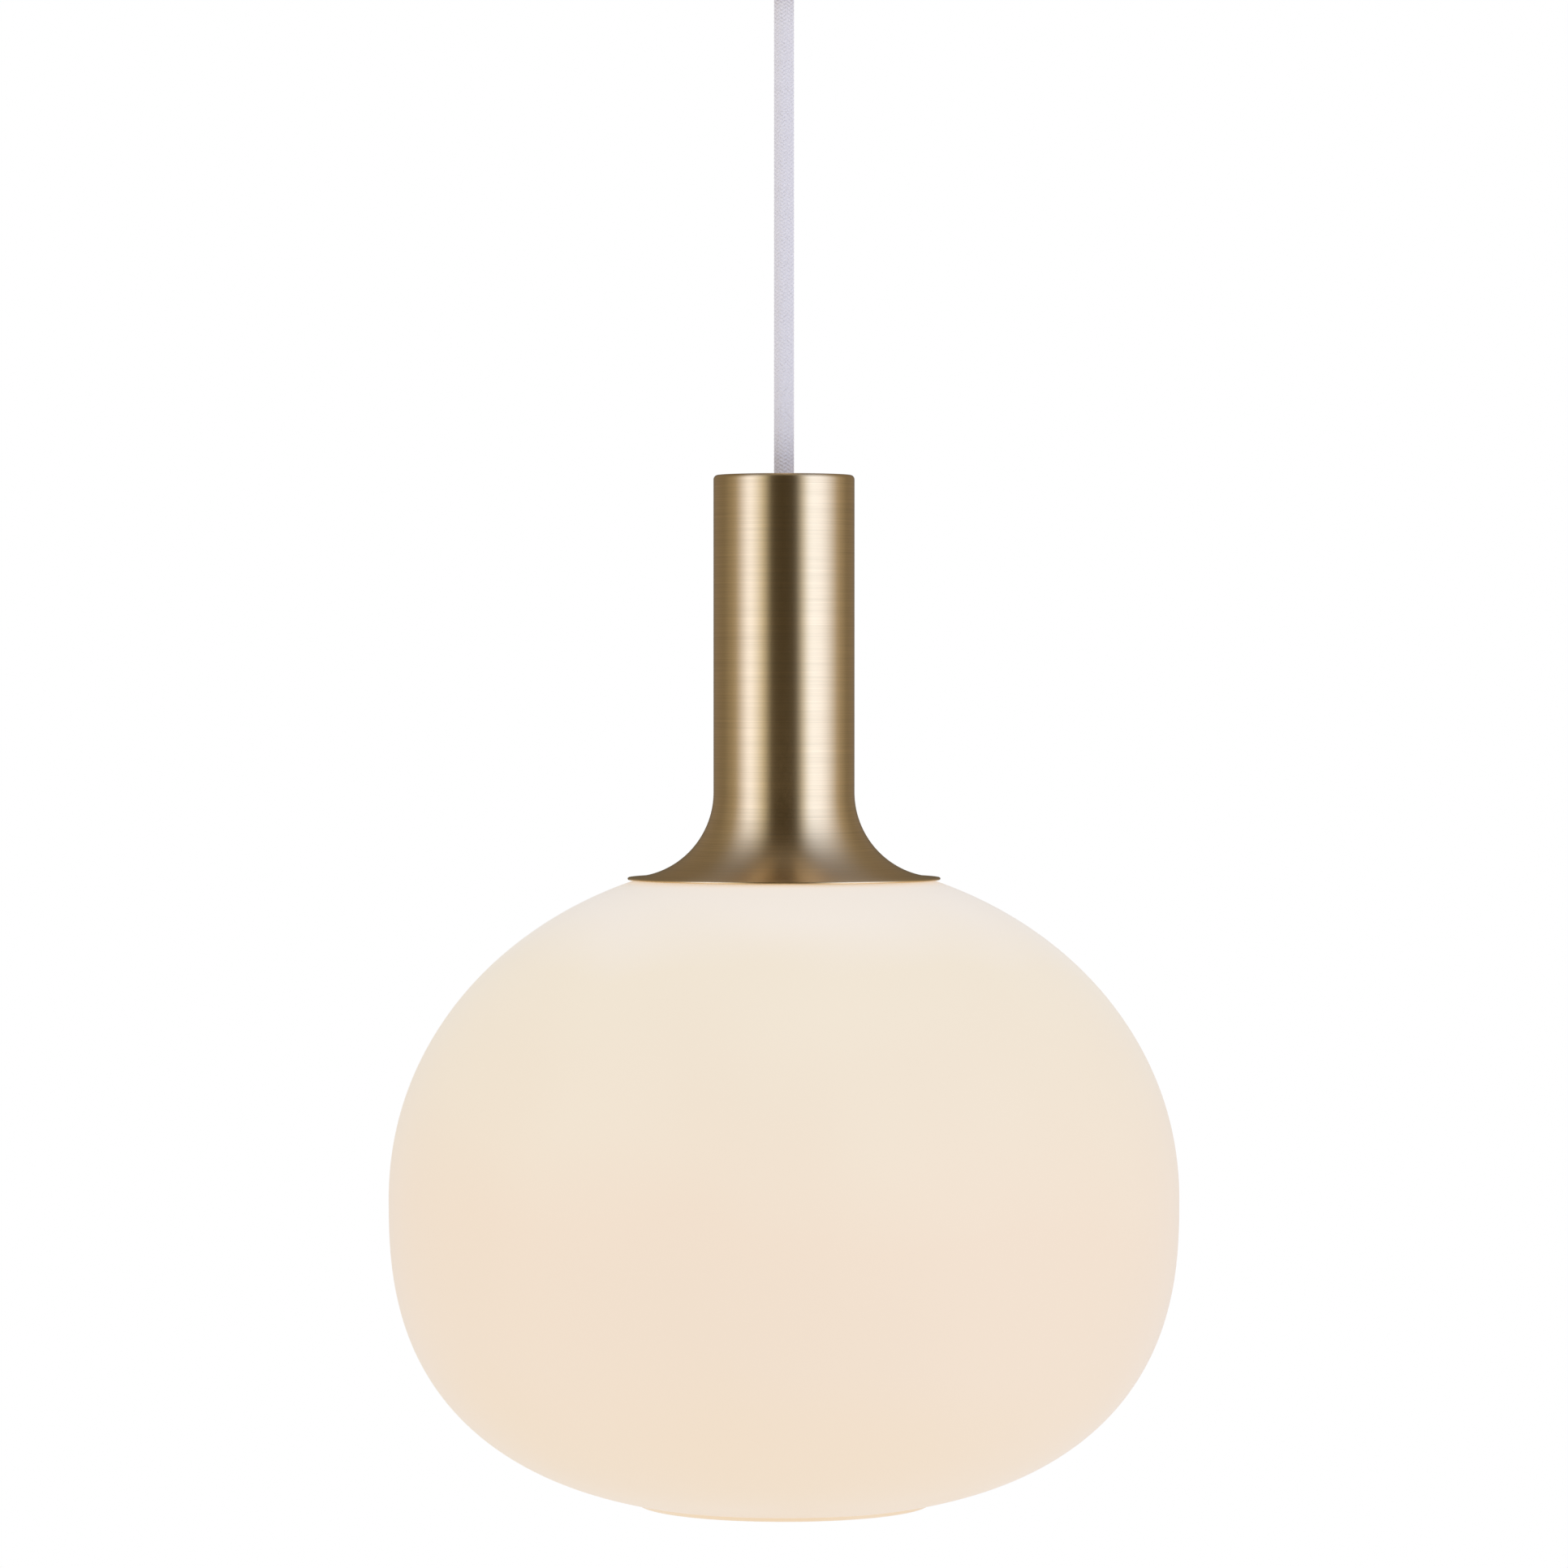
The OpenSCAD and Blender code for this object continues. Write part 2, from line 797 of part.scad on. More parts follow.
module glass_shade() {
    in_r = shade_r - glass_wall;
    in_mouth_r = mouth_r - glass_wall;
    lip_r = glass_wall / 2;
    upper = moved(
        super_points(shade_r, upper_h, upper_n, super_angle(upper_h, upper_n, land_z - belly_z), 0),
        belly_z
    );
    lower = moved(
        super_points(
            shade_r, lower_h, lower_n,
            0, super_angle(lower_h, lower_n, belly_z - curve_end_z)
        ),
        belly_z, -1
    );
    in_upper_h = upper_h - glass_wall;
    in_lower_h = lower_h - glass_wall;
    in_upper = moved(
        super_points(
            in_r, in_upper_h, upper_n,
            super_angle(in_upper_h, upper_n, land_z - land_t - belly_z), 0
        ),
        belly_z
    );
    in_end_h = super_height(in_r, in_lower_h, lower_n, in_mouth_r);
    in_lower = moved(
        super_points(in_r, in_lower_h, lower_n, 0, super_angle(in_lower_h, lower_n, in_end_h)),
        belly_z, -1
    );
    lip = arc_points([mouth_r - lip_r, lip_bottom + lip_r], lip_r, 0, -180, 16);
    color("antiquewhite")
        rotate_extrude()
            polygon(concat(
                [[ring_reach_r, land_z]],
                upper,
                [for (i = [1:curve_steps]) lower[i]],
                lip,
                backwards(in_lower),
                [for (i = [1:curve_steps]) backwards(in_upper)[i]],
                [[ring_reach_r, land_z - land_t]]
            ));
}

// --- Bulb ---

module bulb_globe() {
    color("white")
        rotate_extrude()
            intersection() {
                translate([0, globe_z - globe_r]) square([globe_r, globe_r + globe_rim_rise]);
                translate([0, globe_z])
                    difference() {
                        circle(r = globe_r);
                        circle(r = globe_r - globe_wall);
                    }
            }
}

// Flared body between the screw cap and the globe, with the plug inside the cap
module bulb_housing() {
    steps = 24;
    rise = bulb_cap_bottom - housing_top_z;
    curve = bezier_path([
        [bulb_neck_r, bulb_cap_bottom],
        [bulb_neck_r, bulb_cap_bottom - rise * 0.4],
        [housing_rim_r - rise * 0.1, housing_top_z + rise * 0.27],
        [housing_rim_r, housing_top_z]
    ], steps);
    plug_r = bulb_cap_r - bulb_thread_depth - bulb_cap_wall;
    color("white")
        difference() {
            rotate_extrude()
                polygon(concat(
                    [[plug_r, bulb_cap_bottom + plug_h], [plug_r, bulb_cap_bottom]],
                    curve,
                    [for (i = [steps:-1:0]) curve[i] - [housing_wall, 0]],
                    [
                        [plug_r - housing_wall, bulb_cap_bottom],
                        [plug_r - housing_wall, bulb_cap_bottom + plug_h]
                    ]
                ));
            rod(board_r, housing_top_z - eps, housing_top_z + board_seat);
        }
}

// Screw cap with rolled thread rings
module bulb_cap() {
    rings = 5;
    crest_r = bulb_cap_r;
    first_z = bulb_cap_top - 4;
    color("gainsboro")
        difference() {
            tube(crest_r, crest_r - bulb_thread_depth - bulb_cap_wall, bulb_cap_bottom, bulb_cap_top);
            for (i = [0:rings - 1])
                translate([0, 0, first_z - i * thread_pitch])
                    rotate_extrude()
                        translate([crest_r + 1.1, 0]) circle(r = 1.1 + bulb_thread_depth, $fn = 32);
        }
}

module bulb_insulator() {
    color("dimgray")
        rotate_extrude()
            polygon([
                [0, tip_top - tip_h],
                [tip_r, tip_top - tip_h],
                [bulb_cap_r, bulb_cap_top],
                [bulb_cap_r - bulb_thread_depth - bulb_cap_wall, bulb_cap_top],
                [bulb_cap_r - bulb_thread_depth - bulb_cap_wall, bulb_cap_top - 2],
                [0, bulb_cap_top - 2]
            ]);
}

module bulb_tip() {
    color("silver")
        translate([0, 0, tip_top - tip_h]) cylinder(r1 = tip_r, r2 = tip_r * 0.7, h = tip_h);
}

module led_board() {
    color("ghostwhite") rod(board_r, housing_top_z, housing_top_z + board_t);
}

module led_chips() {
    color("yellow")
        for (i = [0:chip_count - 1])
            rotate([0, 0, 360 * i / chip_count])
                translate([chip_ring_r, 0, housing_top_z])
                    translate([-chip_size[0] / 2, -chip_size[1] / 2, -chip_size[2]])
                        cube(chip_size);
}

module led_driver() {
    board_z = housing_top_z + board_t;
    color("seagreen") translate([-9, -0.6, board_z]) cube([18, 1.2, 30]);
    color("dimgray") translate([-6, 0.6 - eps, board_z + 4]) cube([12, 7, 9]);
    color("dimgray")
        translate([0, -4.6 + eps, board_z + 14]) cylinder(r = 4, h = 12);
}

// --- Nodes ---

ceiling_bracket();
canopy_cup();
canopy_side_screws();
terminal_housing();
terminal_sleeves();
terminal_screws();
terminal_fixing_screw();
canopy_live_wire();
canopy_neutral_wire();
cord_grip();
cord_grip_nut();
cord_grip_screw();
cord_top();
cord_neck();
cord();
cord_tail();
brass_cap();
cap_entry_bush();
cap_boss();
threaded_tube();
lock_nut();
holder_dome();
dome_locking_screw();
cord_clamp();
cord_clamp_screws();
holder_live_wire();
holder_neutral_wire();
holder_insert();
holder_live_terminal();
holder_neutral_terminal();
holder_terminal_screws();
centre_contact();
screw_shell();
holder_skirt();
upper_gasket();
glass_shade();
lower_gasket();
shade_ring();
bulb_globe();
bulb_housing();
bulb_cap();
bulb_insulator();
bulb_tip();
led_board();
led_chips();
led_driver();
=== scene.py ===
import json
import math

import bmesh
import bpy
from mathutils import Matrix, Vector


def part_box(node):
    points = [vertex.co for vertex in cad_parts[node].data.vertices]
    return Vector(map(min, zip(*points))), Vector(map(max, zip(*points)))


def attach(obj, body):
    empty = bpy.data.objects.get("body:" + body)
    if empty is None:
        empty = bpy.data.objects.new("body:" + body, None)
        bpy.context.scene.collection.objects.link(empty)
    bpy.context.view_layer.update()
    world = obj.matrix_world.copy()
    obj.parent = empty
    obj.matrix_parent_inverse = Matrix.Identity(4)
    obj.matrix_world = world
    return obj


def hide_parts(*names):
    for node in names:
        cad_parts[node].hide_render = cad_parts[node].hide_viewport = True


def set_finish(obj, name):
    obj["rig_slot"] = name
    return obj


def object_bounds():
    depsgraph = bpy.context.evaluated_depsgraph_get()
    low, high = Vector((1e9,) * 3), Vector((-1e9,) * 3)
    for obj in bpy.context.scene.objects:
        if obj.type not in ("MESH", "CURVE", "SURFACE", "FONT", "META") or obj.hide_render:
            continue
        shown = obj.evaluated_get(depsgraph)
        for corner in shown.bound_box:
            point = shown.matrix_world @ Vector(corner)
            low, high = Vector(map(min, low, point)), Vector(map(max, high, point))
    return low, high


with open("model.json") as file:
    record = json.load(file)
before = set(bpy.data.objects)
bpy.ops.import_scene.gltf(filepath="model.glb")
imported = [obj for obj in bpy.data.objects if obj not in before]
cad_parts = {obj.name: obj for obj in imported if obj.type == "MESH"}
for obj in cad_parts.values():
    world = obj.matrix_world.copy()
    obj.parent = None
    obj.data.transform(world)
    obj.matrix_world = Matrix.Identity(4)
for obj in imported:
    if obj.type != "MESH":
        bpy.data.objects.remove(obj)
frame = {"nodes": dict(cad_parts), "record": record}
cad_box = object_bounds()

# The looks of a pendant ceiling light: an opal glass shade under a spun brass cap, hung on a
# braided textile cord from a ceiling canopy. Metres, +Z up, the origin on the ceiling plane.

MM = 0.001
TAU = 2 * math.pi
NODES = frame["nodes"]

# Places that the frame gives
CAP_LOW, CAP_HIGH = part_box("brass_cap")
GLASS_LOW, GLASS_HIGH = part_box("glass_shade")
BULB_CAP_LOW, BULB_CAP_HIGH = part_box("bulb_cap")
CAP_TOP = CAP_HIGH.z
SEAT = CAP_LOW.z

# Design sizes that the frame's boxes don't give
CORD_D = 6.4 * MM
CAP_TUBE_R = 22.3 * MM
CAP_WALL = 1.0 * MM
CAP_EDGE_R = 1.4 * MM
RIM_EDGE = 0.8 * MM
FLARE_H = 27 * MM
BELLY_DROP = 100.6 * MM
UPPER_H = 108 * MM
LOWER_H = 99.3 * MM
UPPER_N = 2.04
LOWER_N = 2.54
GLASS_WALL = 3.5 * MM
GLASS_BORE_R = 21.5 * MM
LAND_T = 4 * MM
MOUTH_R = 47 * MM
CAP_HOLE_R = CORD_D / 2 + 0.7 * MM
THREAD_PITCH = 3.6 * MM
THREAD_DEPTH = 0.9 * MM
BULB_CAP_WALL = 0.4 * MM

# The cord's route, from the canopy's grip down to the top of the metal cap
CORD_ROUTE = [
    (0, 0, -0.046), (0, 0, -0.057), (0, 0, -0.068), (0, 0, -0.079), (0, 0, -0.090),
    (0, 0, -0.101), (0, 0, -0.112), (0, 0, -0.123), (0, 0, -0.134), (0, 0, -0.145),
    (0, 0, -0.156), (0, 0, -0.167), (0, 0, -0.178), (0, 0, -0.189), (0, 0, -0.200),
]


# --- Camera ---

CAMERA_DISTANCE = 2.10
CAMERA_ABOVE_SEAT = 65 * MM
VIEW_CENTRE_DROP = 34.7 * MM
LENS = 152.4
SENSOR = 36


def make_camera():
    """A long lens a little above the cap's rim, tipped down by about one degree."""
    data = bpy.data.cameras.new("camera")
    data.lens = LENS
    data.sensor_width = SENSOR
    camera = bpy.data.objects.new("camera", data)
    camera.location = (0, -CAMERA_DISTANCE, SEAT + CAMERA_ABOVE_SEAT)
    aim = Vector((0, CAMERA_DISTANCE, -VIEW_CENTRE_DROP))
    camera.rotation_euler = aim.to_track_quat("-Z", "Y").to_euler()
    bpy.context.scene.collection.objects.link(camera)
    bpy.context.scene.camera = camera


make_camera()


# --- Mesh helpers ---

SHARP_ANGLE = math.radians(35)
TURNED_SIDES = 192


def skin(name, rings, joined=False):
    """A mesh over rings of points. The last ring meets the first if joined, or both ends are capped."""
    count = len(rings[0])
    faces = []
    for i in range(len(rings) if joined else len(rings) - 1):
        here = i * count
        there = (i + 1) % len(rings) * count
        for k in range(count):
            after = (k + 1) % count
            faces.append((here + k, here + after, there + after, there + k))
    if not joined:
        faces.append(tuple(range(count)))
        faces.append(tuple(range((len(rings) - 1) * count, len(rings) * count)))
    mesh = bpy.data.meshes.new(name)
    mesh.from_pydata([point for ring in rings for point in ring], [], faces)
    work = bmesh.new()
    work.from_mesh(mesh)
    bmesh.ops.recalc_face_normals(work, faces=work.faces)
    work.to_mesh(mesh)
    work.free()
    mesh.shade_smooth()
    mesh.set_sharp_from_angle(angle=SHARP_ANGLE)
    piece = bpy.data.objects.new(name, mesh)
    bpy.context.scene.collection.objects.link(piece)
    return piece


def level_ring(radius, z, sides):
    """Points round the Z axis, where radius is a number or a function of the angle."""
    points = []
    for k in range(sides):
        angle = TAU * k / sides
        r = radius(angle) if callable(radius) else radius
        points.append((r * math.cos(angle), r * math.sin(angle), z))
    return points


def lathe(name, outline):
    """A closed outline of (radius, height) points, turned round the Z axis."""
    return skin(name, [level_ring(r, z, TURNED_SIDES) for r, z in outline], joined=True)


def arc(centre, radius, start, end, steps=8):
    """(radius, height) points on an arc, with its angles in degrees."""
    points = []
    for i in range(steps + 1):
        angle = math.radians(start + (end - start) * i / steps)
        points.append((centre[0] + radius * math.cos(angle), centre[1] + radius * math.sin(angle)))
    return points


# --- Cord ---

CARRIERS = 16
BRAID_LAY = 19.7 * MM
BRAID_RELIEF = 0.15 * MM
YARN_CROWN = 0.16 * MM
BRAID_SIDES = 128
BRAID_STEP = 0.2 * MM


def braid_radius(angle, z, radius):
    """Radius of a two-over-two braid: the higher of the two yarns that cross at that place shows."""
    turns = angle / TAU
    climb = z / BRAID_LAY
    heights = []
    for way in (1, -1):
        across = CARRIERS * (turns - way * climb)
        yarn = math.floor(across)
        offset = 2 * (across - yarn) - 1
        over = math.cos(math.pi / 2 * (way * 2 * CARRIERS * climb + 2 * yarn + 0.5))
        crown = math.sqrt(1 - 0.9 * offset ** 2)
        heights.append(way * BRAID_RELIEF * over + YARN_CROWN * crown)
    return radius - BRAID_RELIEF - YARN_CROWN + max(heights)


def braided_tube(name, top, bottom):
    """A straight length of braided cord down the Z axis."""
    rows = round((top - bottom) / BRAID_STEP)
    rings = []
    for i in range(rows + 1):
        z = top + (bottom - top) * i / rows
        rings.append(level_ring(lambda angle: braid_radius(angle, z, CORD_D / 2), z, BRAID_SIDES))
    return skin(name, rings)


def make_cord():
    """The free drop of the cord, which hangs taut from the grip to the cap."""
    cord = braided_tube("braided_cord", CORD_ROUTE[0][2], CORD_ROUTE[-1][2])
    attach(cord, "cord_drop")
    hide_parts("cord")
    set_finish(cord, "textile")
    return cord


# --- Glass shade ---

CURVE_STEPS = 48


def superellipse_radius(width, height, power, level):
    """Radius of the curve at that level above or below its widest place."""
    return width * (1 - (level / height) ** power) ** (1 / power)


def superellipse(width, height, power, radius_end, rising):
    """(radius, height) points from the widest place up or down to radius_end."""
    end = math.acos((radius_end / width) ** (power / 2))
    sign = 1 if rising else -1
    belly = SEAT - BELLY_DROP
    points = []
    for i in range(CURVE_STEPS + 1):
        angle = end * i / CURVE_STEPS
        rise = sign * height * math.sin(angle) ** (2 / power)
        points.append((width * math.cos(angle) ** (2 / power), belly + rise))
    return points


def glass_outline():
    """The shade's wall: its two curves, the lip round the mouth and the land it hangs by."""
    belly = SEAT - BELLY_DROP
    wide = GLASS_HIGH.x
    in_wide = wide - GLASS_WALL
    land_top = GLASS_HIGH.z
    land_low = land_top - LAND_T
    edge = LAND_T / 4
    top_r = superellipse_radius(wide, UPPER_H, UPPER_N, land_top - belly)
    in_top_r = superellipse_radius(in_wide, UPPER_H - GLASS_WALL, UPPER_N, land_low - belly)
    outer_up = superellipse(wide, UPPER_H, UPPER_N, top_r, True)
    outer_down = superellipse(wide, LOWER_H, LOWER_N, MOUTH_R, False)
    inner_up = superellipse(in_wide, UPPER_H - GLASS_WALL, UPPER_N, in_top_r, True)
    inner_down = superellipse(in_wide, LOWER_H - GLASS_WALL, LOWER_N, MOUTH_R - GLASS_WALL, False)
    lip_r = GLASS_WALL / 2
    lip = arc((MOUTH_R - lip_r, GLASS_LOW.z + lip_r), lip_r, 0, -180, 16)
    bore = (
        arc((GLASS_BORE_R + edge, land_low + edge), edge, 270, 180, 4)
        + arc((GLASS_BORE_R + edge, land_top - edge), edge, 180, 90, 4)
    )
    return outer_up[::-1] + outer_down[1:] + lip + inner_down[::-1] + inner_up[1:] + bore


def make_glass():
    glass = lathe("opal_shade", glass_outline())
    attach(glass, "lamp")
    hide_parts("glass_shade")
    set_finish(glass, "opal_glass")
    return glass


# --- Brass cap ---

def flare(r_end, z_end, width, height):
    """(radius, height) points from the foot of the tube down and out to the rim."""
    points = []
    for i in range(CURVE_STEPS + 1):
        angle = math.pi / 2 * i / CURVE_STEPS
        points.append((r_end - width * math.cos(angle), z_end + height * (1 - math.sin(angle))))
    return points


def cap_outline():
    """The cap's wall: a flat top with a small round, a straight tube and a flare with a rolled rim."""
    rim_r = CAP_HIGH.x
    roll = RIM_EDGE / 2
    outer = flare(rim_r - roll, SEAT + RIM_EDGE, rim_r - roll - CAP_TUBE_R, FLARE_H)
    inner = flare(rim_r - roll, SEAT, rim_r - roll - CAP_TUBE_R + CAP_WALL, FLARE_H + RIM_EDGE)
    corner = (CAP_TUBE_R - CAP_EDGE_R, CAP_TOP - CAP_EDGE_R)
    return (
        [(CAP_HOLE_R, CAP_TOP)]
        + arc(corner, CAP_EDGE_R, 90, 0)
        + outer
        + arc((rim_r - roll, SEAT + roll), roll, 90, -90)[1:-1]
        + inner[::-1]
        + arc(corner, CAP_EDGE_R - CAP_WALL, 0, 90, 4)
        + [(CAP_HOLE_R, CAP_TOP - CAP_WALL)]
    )


def make_cap():
    cap = lathe("spun_cap", cap_outline())
    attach(cap, "lamp")
    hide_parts("brass_cap")
    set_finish(cap, "brushed_brass")
    return cap


# --- Bulb's screw cap ---

THREAD_SIDES = 96
THREAD_ROWS = 110


def make_bulb_cap():
    """A thin rolled sleeve with a true screw thread, plain for a turn at each end."""
    crest = BULB_CAP_HIGH.x
    height = BULB_CAP_HIGH.z - BULB_CAP_LOW.z
    rings = []
    for i in range(THREAD_ROWS + 1):
        z = BULB_CAP_LOW.z + height * i / THREAD_ROWS
        fade = min(1, min(z - BULB_CAP_LOW.z, BULB_CAP_HIGH.z - z) / THREAD_PITCH)
        rings.append(level_ring(
            lambda angle: crest - THREAD_DEPTH * fade
            * (0.5 - 0.5 * math.cos(TAU * z / THREAD_PITCH - angle)),
            z, THREAD_SIDES,
        ))
    inside = crest - THREAD_DEPTH - BULB_CAP_WALL
    rings.append(level_ring(inside, BULB_CAP_HIGH.z, THREAD_SIDES))
    rings.append(level_ring(inside, BULB_CAP_LOW.z, THREAD_SIDES))
    sleeve = skin("threaded_sleeve", rings, joined=True)
    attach(sleeve, "bulb")
    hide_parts("bulb_cap")
    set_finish(sleeve, "nickel_plate")
    return sleeve


# --- Material helpers ---

def finish_named(name, color, roughness, **sockets):
    """A material with one Principled shader, whose even values sit on the shader's own sockets."""
    material = bpy.data.materials.new(name)
    material.use_nodes = True
    shader = material.node_tree.nodes["Principled BSDF"]
    shader.inputs["Base Color"].default_value = (*color, 1)
    shader.inputs["Roughness"].default_value = roughness
    for socket, value in sockets.items():
        shader.inputs[socket.replace("_", " ")].default_value = value
    return material, shader


def add(material, kind, **inputs):
    """A node of that kind, with its inputs set to values or linked to sockets."""
    tree = material.node_tree
    node = tree.nodes.new(kind)
    for name, value in inputs.items():
        socket = node.inputs[name.replace("_", " ")]
        if isinstance(value, bpy.types.NodeSocket):
            tree.links.new(value, socket)
        else:
            socket.default_value = value
    return node


def link(material, output, socket):
    material.node_tree.links.new(output, socket)


def place(material, scale=(1, 1, 1)):
    """The object's own coordinates, stretched."""
    coordinates = add(material, "ShaderNodeTexCoord")
    mapping = add(material, "ShaderNodeMapping", Vector=coordinates.outputs["Object"], Scale=scale)
    return mapping.outputs["Vector"]


def noise(material, size, detail=3, roughness=0.5, stretch=(1, 1, 1)):
    """Noise whose features are about that size in metres."""
    node = add(
        material, "ShaderNodeTexNoise", Vector=place(material, stretch),
        Scale=1 / size, Detail=detail, Roughness=roughness,
    )
    return node.outputs["Fac"]


def ramp(material, value, *stops):
    """Colours or greys along a value, from (place, colour) stops."""
    node = add(material, "ShaderNodeValToRGB", Fac=value)
    elements = node.color_ramp.elements
    while len(elements) < len(stops):
        elements.new(1)
    for element, (place_along, color) in zip(elements, stops):
        element.position = place_along
        element.color = (*color, 1) if isinstance(color, tuple) else (color, color, color, 1)
    return node.outputs["Color"]


def math_node(material, operation, first, second=0.0):
    node = material.node_tree.nodes.new("ShaderNodeMath")
    node.operation = operation
    for socket, value in zip(node.inputs, (first, second)):
        if isinstance(value, bpy.types.NodeSocket):
            link(material, value, socket)
        else:
            socket.default_value = value
    return node.outputs["Value"]


def bumps(material, shader, height, depth):
    """Relief on the shader's surface, as deep as depth in metres."""
    node = add(material, "ShaderNodeBump", Height=height, Distance=depth, Strength=1.0)
    link(material, node.outputs["Normal"], shader.inputs["Normal"])


def tinted(material, shader, value, dark, light, low=0.35, high=0.65):
    """Base colour that drifts between two close tones."""
    link(material, ramp(material, value, (low, dark), (high, light)), shader.inputs["Base Color"])


def worn(material, shader, value, low, high):
    """Roughness that drifts between two values."""
    link(material, ramp(material, value, (0.3, low), (0.7, high)), shader.inputs["Roughness"])


def shades(color, share):
    """A colour made darker and lighter by that share."""
    return tuple(c * (1 - share) for c in color), tuple(min(1, c * (1 + share)) for c in color)


def mixed(material, share, first, second):
    """The first colour, turning to the second as share rises to 1."""
    node = add(material, "ShaderNodeMix")
    node.data_type = "RGBA"
    link(material, share, node.inputs["Factor"])
    for socket, value in ((node.inputs[6], first), (node.inputs[7], second)):
        if isinstance(value, bpy.types.NodeSocket):
            link(material, value, socket)
        else:
            socket.default_value = (*value, 1)
    return node.outputs[2]


BRUSH_SPREAD = 0.6


def brush_lines(material, size, detail):
    """Noise in rings about the Z axis, which drift slowly along the ring."""
    coordinates = add(material, "ShaderNodeTexCoord").outputs["Object"]
    axes = add(material, "ShaderNodeSeparateXYZ", Vector=coordinates).outputs
    squares = math_node(
        material, "ADD",
        math_node(material, "MULTIPLY", axes["X"], axes["X"]),
        math_node(material, "MULTIPLY", axes["Y"], axes["Y"]),
    )
    radius = math_node(material, "SQRT", squares)
    across_x = math_node(material, "DIVIDE", axes["X"], radius)
    across_y = math_node(material, "DIVIDE", axes["Y"], radius)
    point = add(
        material, "ShaderNodeCombineXYZ",
        X=math_node(material, "MULTIPLY", radius, 1 / size),
        Y=math_node(material, "MULTIPLY", across_x, BRUSH_SPREAD),
        Z=math_node(material, "MULTIPLY", axes["Z"], 1 / size),
    )
    texture = material.node_tree.nodes.new("ShaderNodeTexNoise")
    texture.noise_dimensions = "4D"
    link(material, point.outputs["Vector"], texture.inputs["Vector"])
    link(material, math_node(material, "MULTIPLY", across_y, BRUSH_SPREAD), texture.inputs["W"])
    texture.inputs["Scale"].default_value = 1
    texture.inputs["Detail"].default_value = detail
    return texture.outputs["Fac"]


# --- Materials ---

BRASS = (0.86, 0.62, 0.33)
BRUSH_LINE = 0.2 * MM


def brushed_brass():
    """Brass brushed round its axis: fine level lines, and highlights drawn out up and down."""
    material, shader = finish_named(
        "brushed_brass", BRASS, 0.36, Metallic=1.0, Anisotropic=0.9, Anisotropic_Rotation=0.25,
    )
    tangent = material.node_tree.nodes.new("ShaderNodeTangent")
    tangent.direction_type = "RADIAL"
    tangent.axis = "Z"
    link(material, tangent.outputs["Tangent"], shader.inputs["Tangent"])
    lines = brush_lines(material, BRUSH_LINE, 5)
    broad = brush_lines(material, 8 * BRUSH_LINE, 3)
    both = math_node(material, "ADD", math_node(material, "MULTIPLY", lines, 0.8),
                     math_node(material, "MULTIPLY", broad, 0.2))
    dark, light = shades(BRASS, 0.09)
    tinted(material, shader, both, dark, light, 0.35, 0.65)
    worn(material, shader, both, 0.38, 0.34)
    bumps(material, shader, lines, 0.004 * MM)
    return material


CLOUD_SIZE = 60 * MM


def opal_glass():
    """Satin opal glass with a painted glow: emission graded by height stands in for the bulb's light
    through it, whiter at the shoulder, warmer towards the mouth.
    """
    material, shader = finish_named(
        "opal_glass", (0.30, 0.29, 0.27), 0.55, Specular_IOR_Level=0.25,
        Sheen_Weight=0.5, Sheen_Roughness=0.4, Emission_Strength=1.0,
    )
    height = GLASS_HIGH.z - GLASS_LOW.z
    coordinates = add(material, "ShaderNodeTexCoord").outputs["Object"]
    level = add(material, "ShaderNodeSeparateXYZ", Vector=coordinates).outputs["Z"]
    share = math_node(
        material, "MULTIPLY", math_node(material, "SUBTRACT", level, GLASS_LOW.z), 1 / height
    )
    clouds = math_node(material, "SUBTRACT", noise(material, CLOUD_SIZE, 1), 0.5)
    share = math_node(material, "ADD", share, math_node(material, "MULTIPLY", clouds, 0.2))
    # Painted glow: this emission colour stands in for the bulb's light through the glass. It is lighter
    # and whiter towards the shoulder and warmer and dimmer towards the mouth, with faint random clouds.
    painted_glow = ramp(
        material, share,
        (0.0, (0.590, 0.414, 0.220)),
        (0.07, (0.605, 0.462, 0.300)),
        (0.28, (0.613, 0.478, 0.338)),
        (0.48, (0.630, 0.493, 0.351)),
        (0.66, (0.642, 0.533, 0.390)),
        (0.86, (0.665, 0.572, 0.430)),
        (0.97, (0.690, 0.615, 0.520)),
    )
    link(material, painted_glow, shader.inputs["Emission Color"])
    bumps(material, shader, noise(material, 9 * MM, 2), 0.05 * MM)
    return material


def textile():
    """White rayon yarn with a lilac cast, each yarn made of fine filaments."""
    material, shader = finish_named(
        "textile", (0.80, 0.77, 0.80), 0.85, Sheen_Weight=0.35, Sheen_Roughness=0.4,
        Specular_IOR_Level=0.2,
    )
    fibres = noise(material, 0.12 * MM, 4, 0.6, stretch=(1, 1, 0.6))
    tinted(material, shader, fibres, (0.70, 0.66, 0.68), (0.92, 0.88, 0.87))
    bumps(material, shader, fibres, 0.03 * MM)
    return material


MOULDED_GRAIN = 0.6 * MM
METAL_GRAIN = 0.8 * MM
METAL_RELIEF = 0.006 * MM
TRACK_SCALE = 120.0


def moulded(name, color, roughness, **sockets):
    """Moulded plastic or rubber: close tones and a fine grain."""
    material, shader = finish_named(name, color, roughness, **sockets)
    cloud = noise(material, 12 * MM, 3)
    dark, light = shades(color, 0.04)
    tinted(material, shader, cloud, dark, light)
    worn(material, shader, cloud, roughness - 0.05, roughness + 0.05)
    bumps(material, shader, noise(material, MOULDED_GRAIN, 2), 0.01 * MM)
    return material


